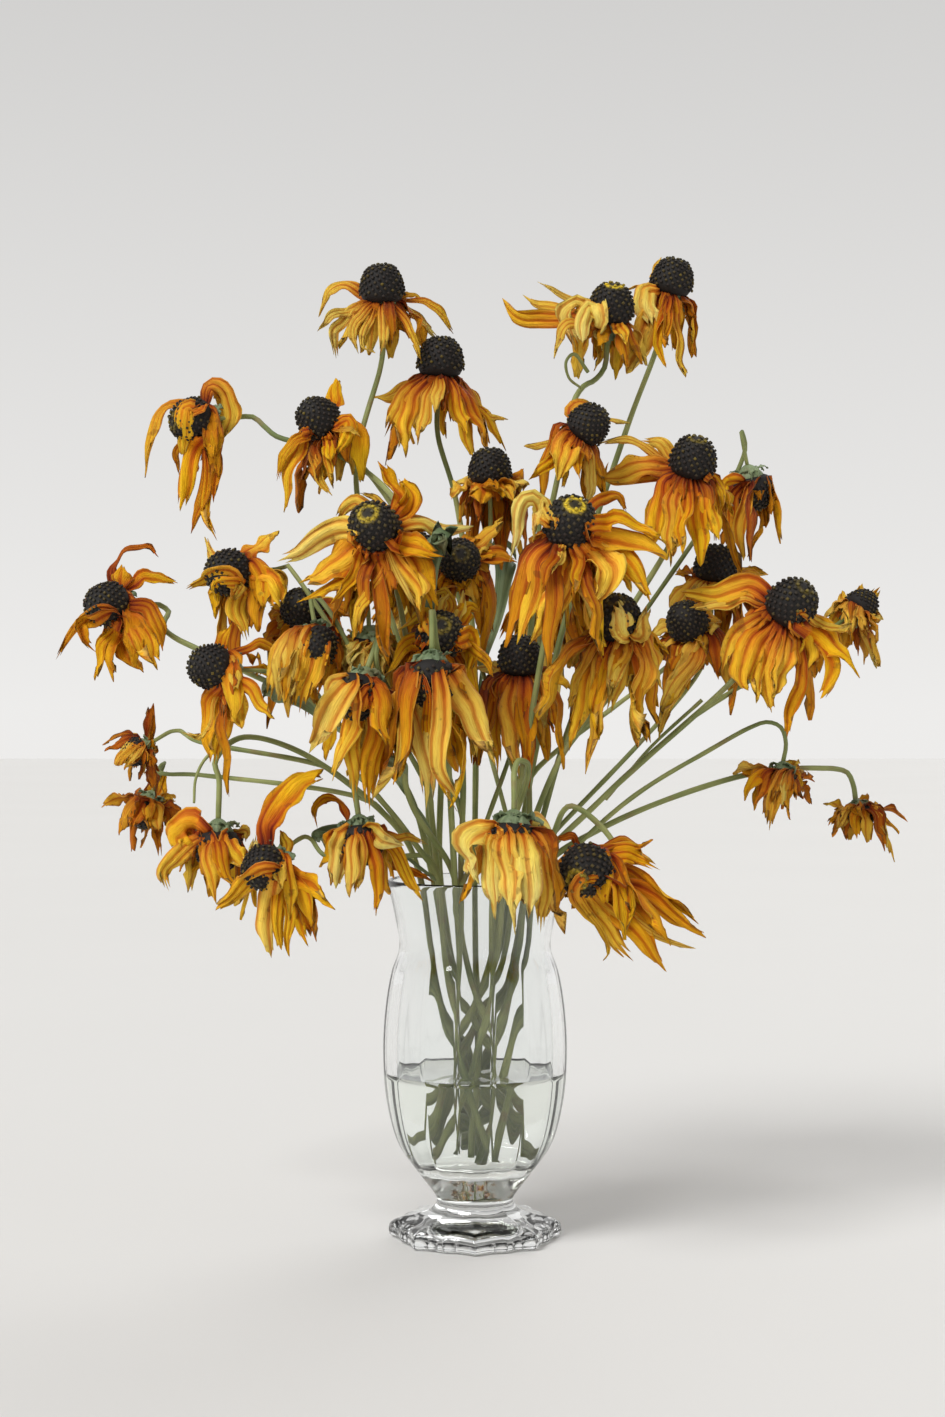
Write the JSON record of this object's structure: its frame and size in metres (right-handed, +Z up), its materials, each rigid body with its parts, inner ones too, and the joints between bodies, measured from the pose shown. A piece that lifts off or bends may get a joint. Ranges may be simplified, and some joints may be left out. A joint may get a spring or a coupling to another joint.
{
  "type": "wilted bouquet in a vase",
  "caption": "Wilted cone-centred daisies with long limp yellow petals, standing in water in a clear, fluted, footed glass vase",
  "frame": {"origin": "middle of the underside of the vase's foot, on the table", "axes": "+Z up, +X to the right and -Y towards the viewer of the picture"},
  "size_m": [0.4915, 0.27, 0.5597],
  "materials": {
    "glass": "clear pressed glass, polished",
    "water": "still, faintly green water",
    "stem": "dull olive green, finely ribbed and hairy",
    "flower": "limp, pleated petals, golden yellow to orange, maroon at the base, round a near-black cone"
  },
  "bodies": {
    "root": {"vase": "glass", "water": "water", "stem_01": "stem", "stem_02": "stem", "stem_03": "stem", "stem_04": "stem", "stem_05": "stem", "stem_06": "stem", "stem_07": "stem", "stem_08": "stem", "stem_09": "stem", "stem_10": "stem", "stem_11": "stem", "stem_12": "stem", "stem_13": "stem", "stem_14": "stem", "stem_15": "stem", "stem_16": "stem", "stem_17": "stem", "stem_18": "stem", "stem_19": "stem", "flower_12": "flower", "flower_28": "flower", "flower_19": "flower", "flower_10": "flower", "flower_16": "flower", "flower_29": "flower", "flower_20": "flower", "flower_26": "flower", "flower_15": "flower", "flower_18": "flower", "flower_27": "flower", "flower_25": "flower", "flower_14": "flower", "flower_08": "flower", "flower_13": "flower", "flower_02": "flower", "flower_06": "flower", "flower_04": "flower", "flower_01": "flower", "flower_05": "flower", "flower_07": "flower", "flower_11": "flower", "flower_21": "flower", "flower_03": "flower", "flower_22": "flower", "flower_09": "flower", "flower_36": "flower", "flower_37": "flower", "flower_35": "flower", "flower_34": "flower", "flower_38": "flower", "flower_33": "flower", "flower_17": "flower", "flower_30": "flower", "flower_31": "flower", "flower_23": "flower", "flower_24": "flower", "flower_39": "flower", "flower_40": "flower"}
  },
  "joints": []
}
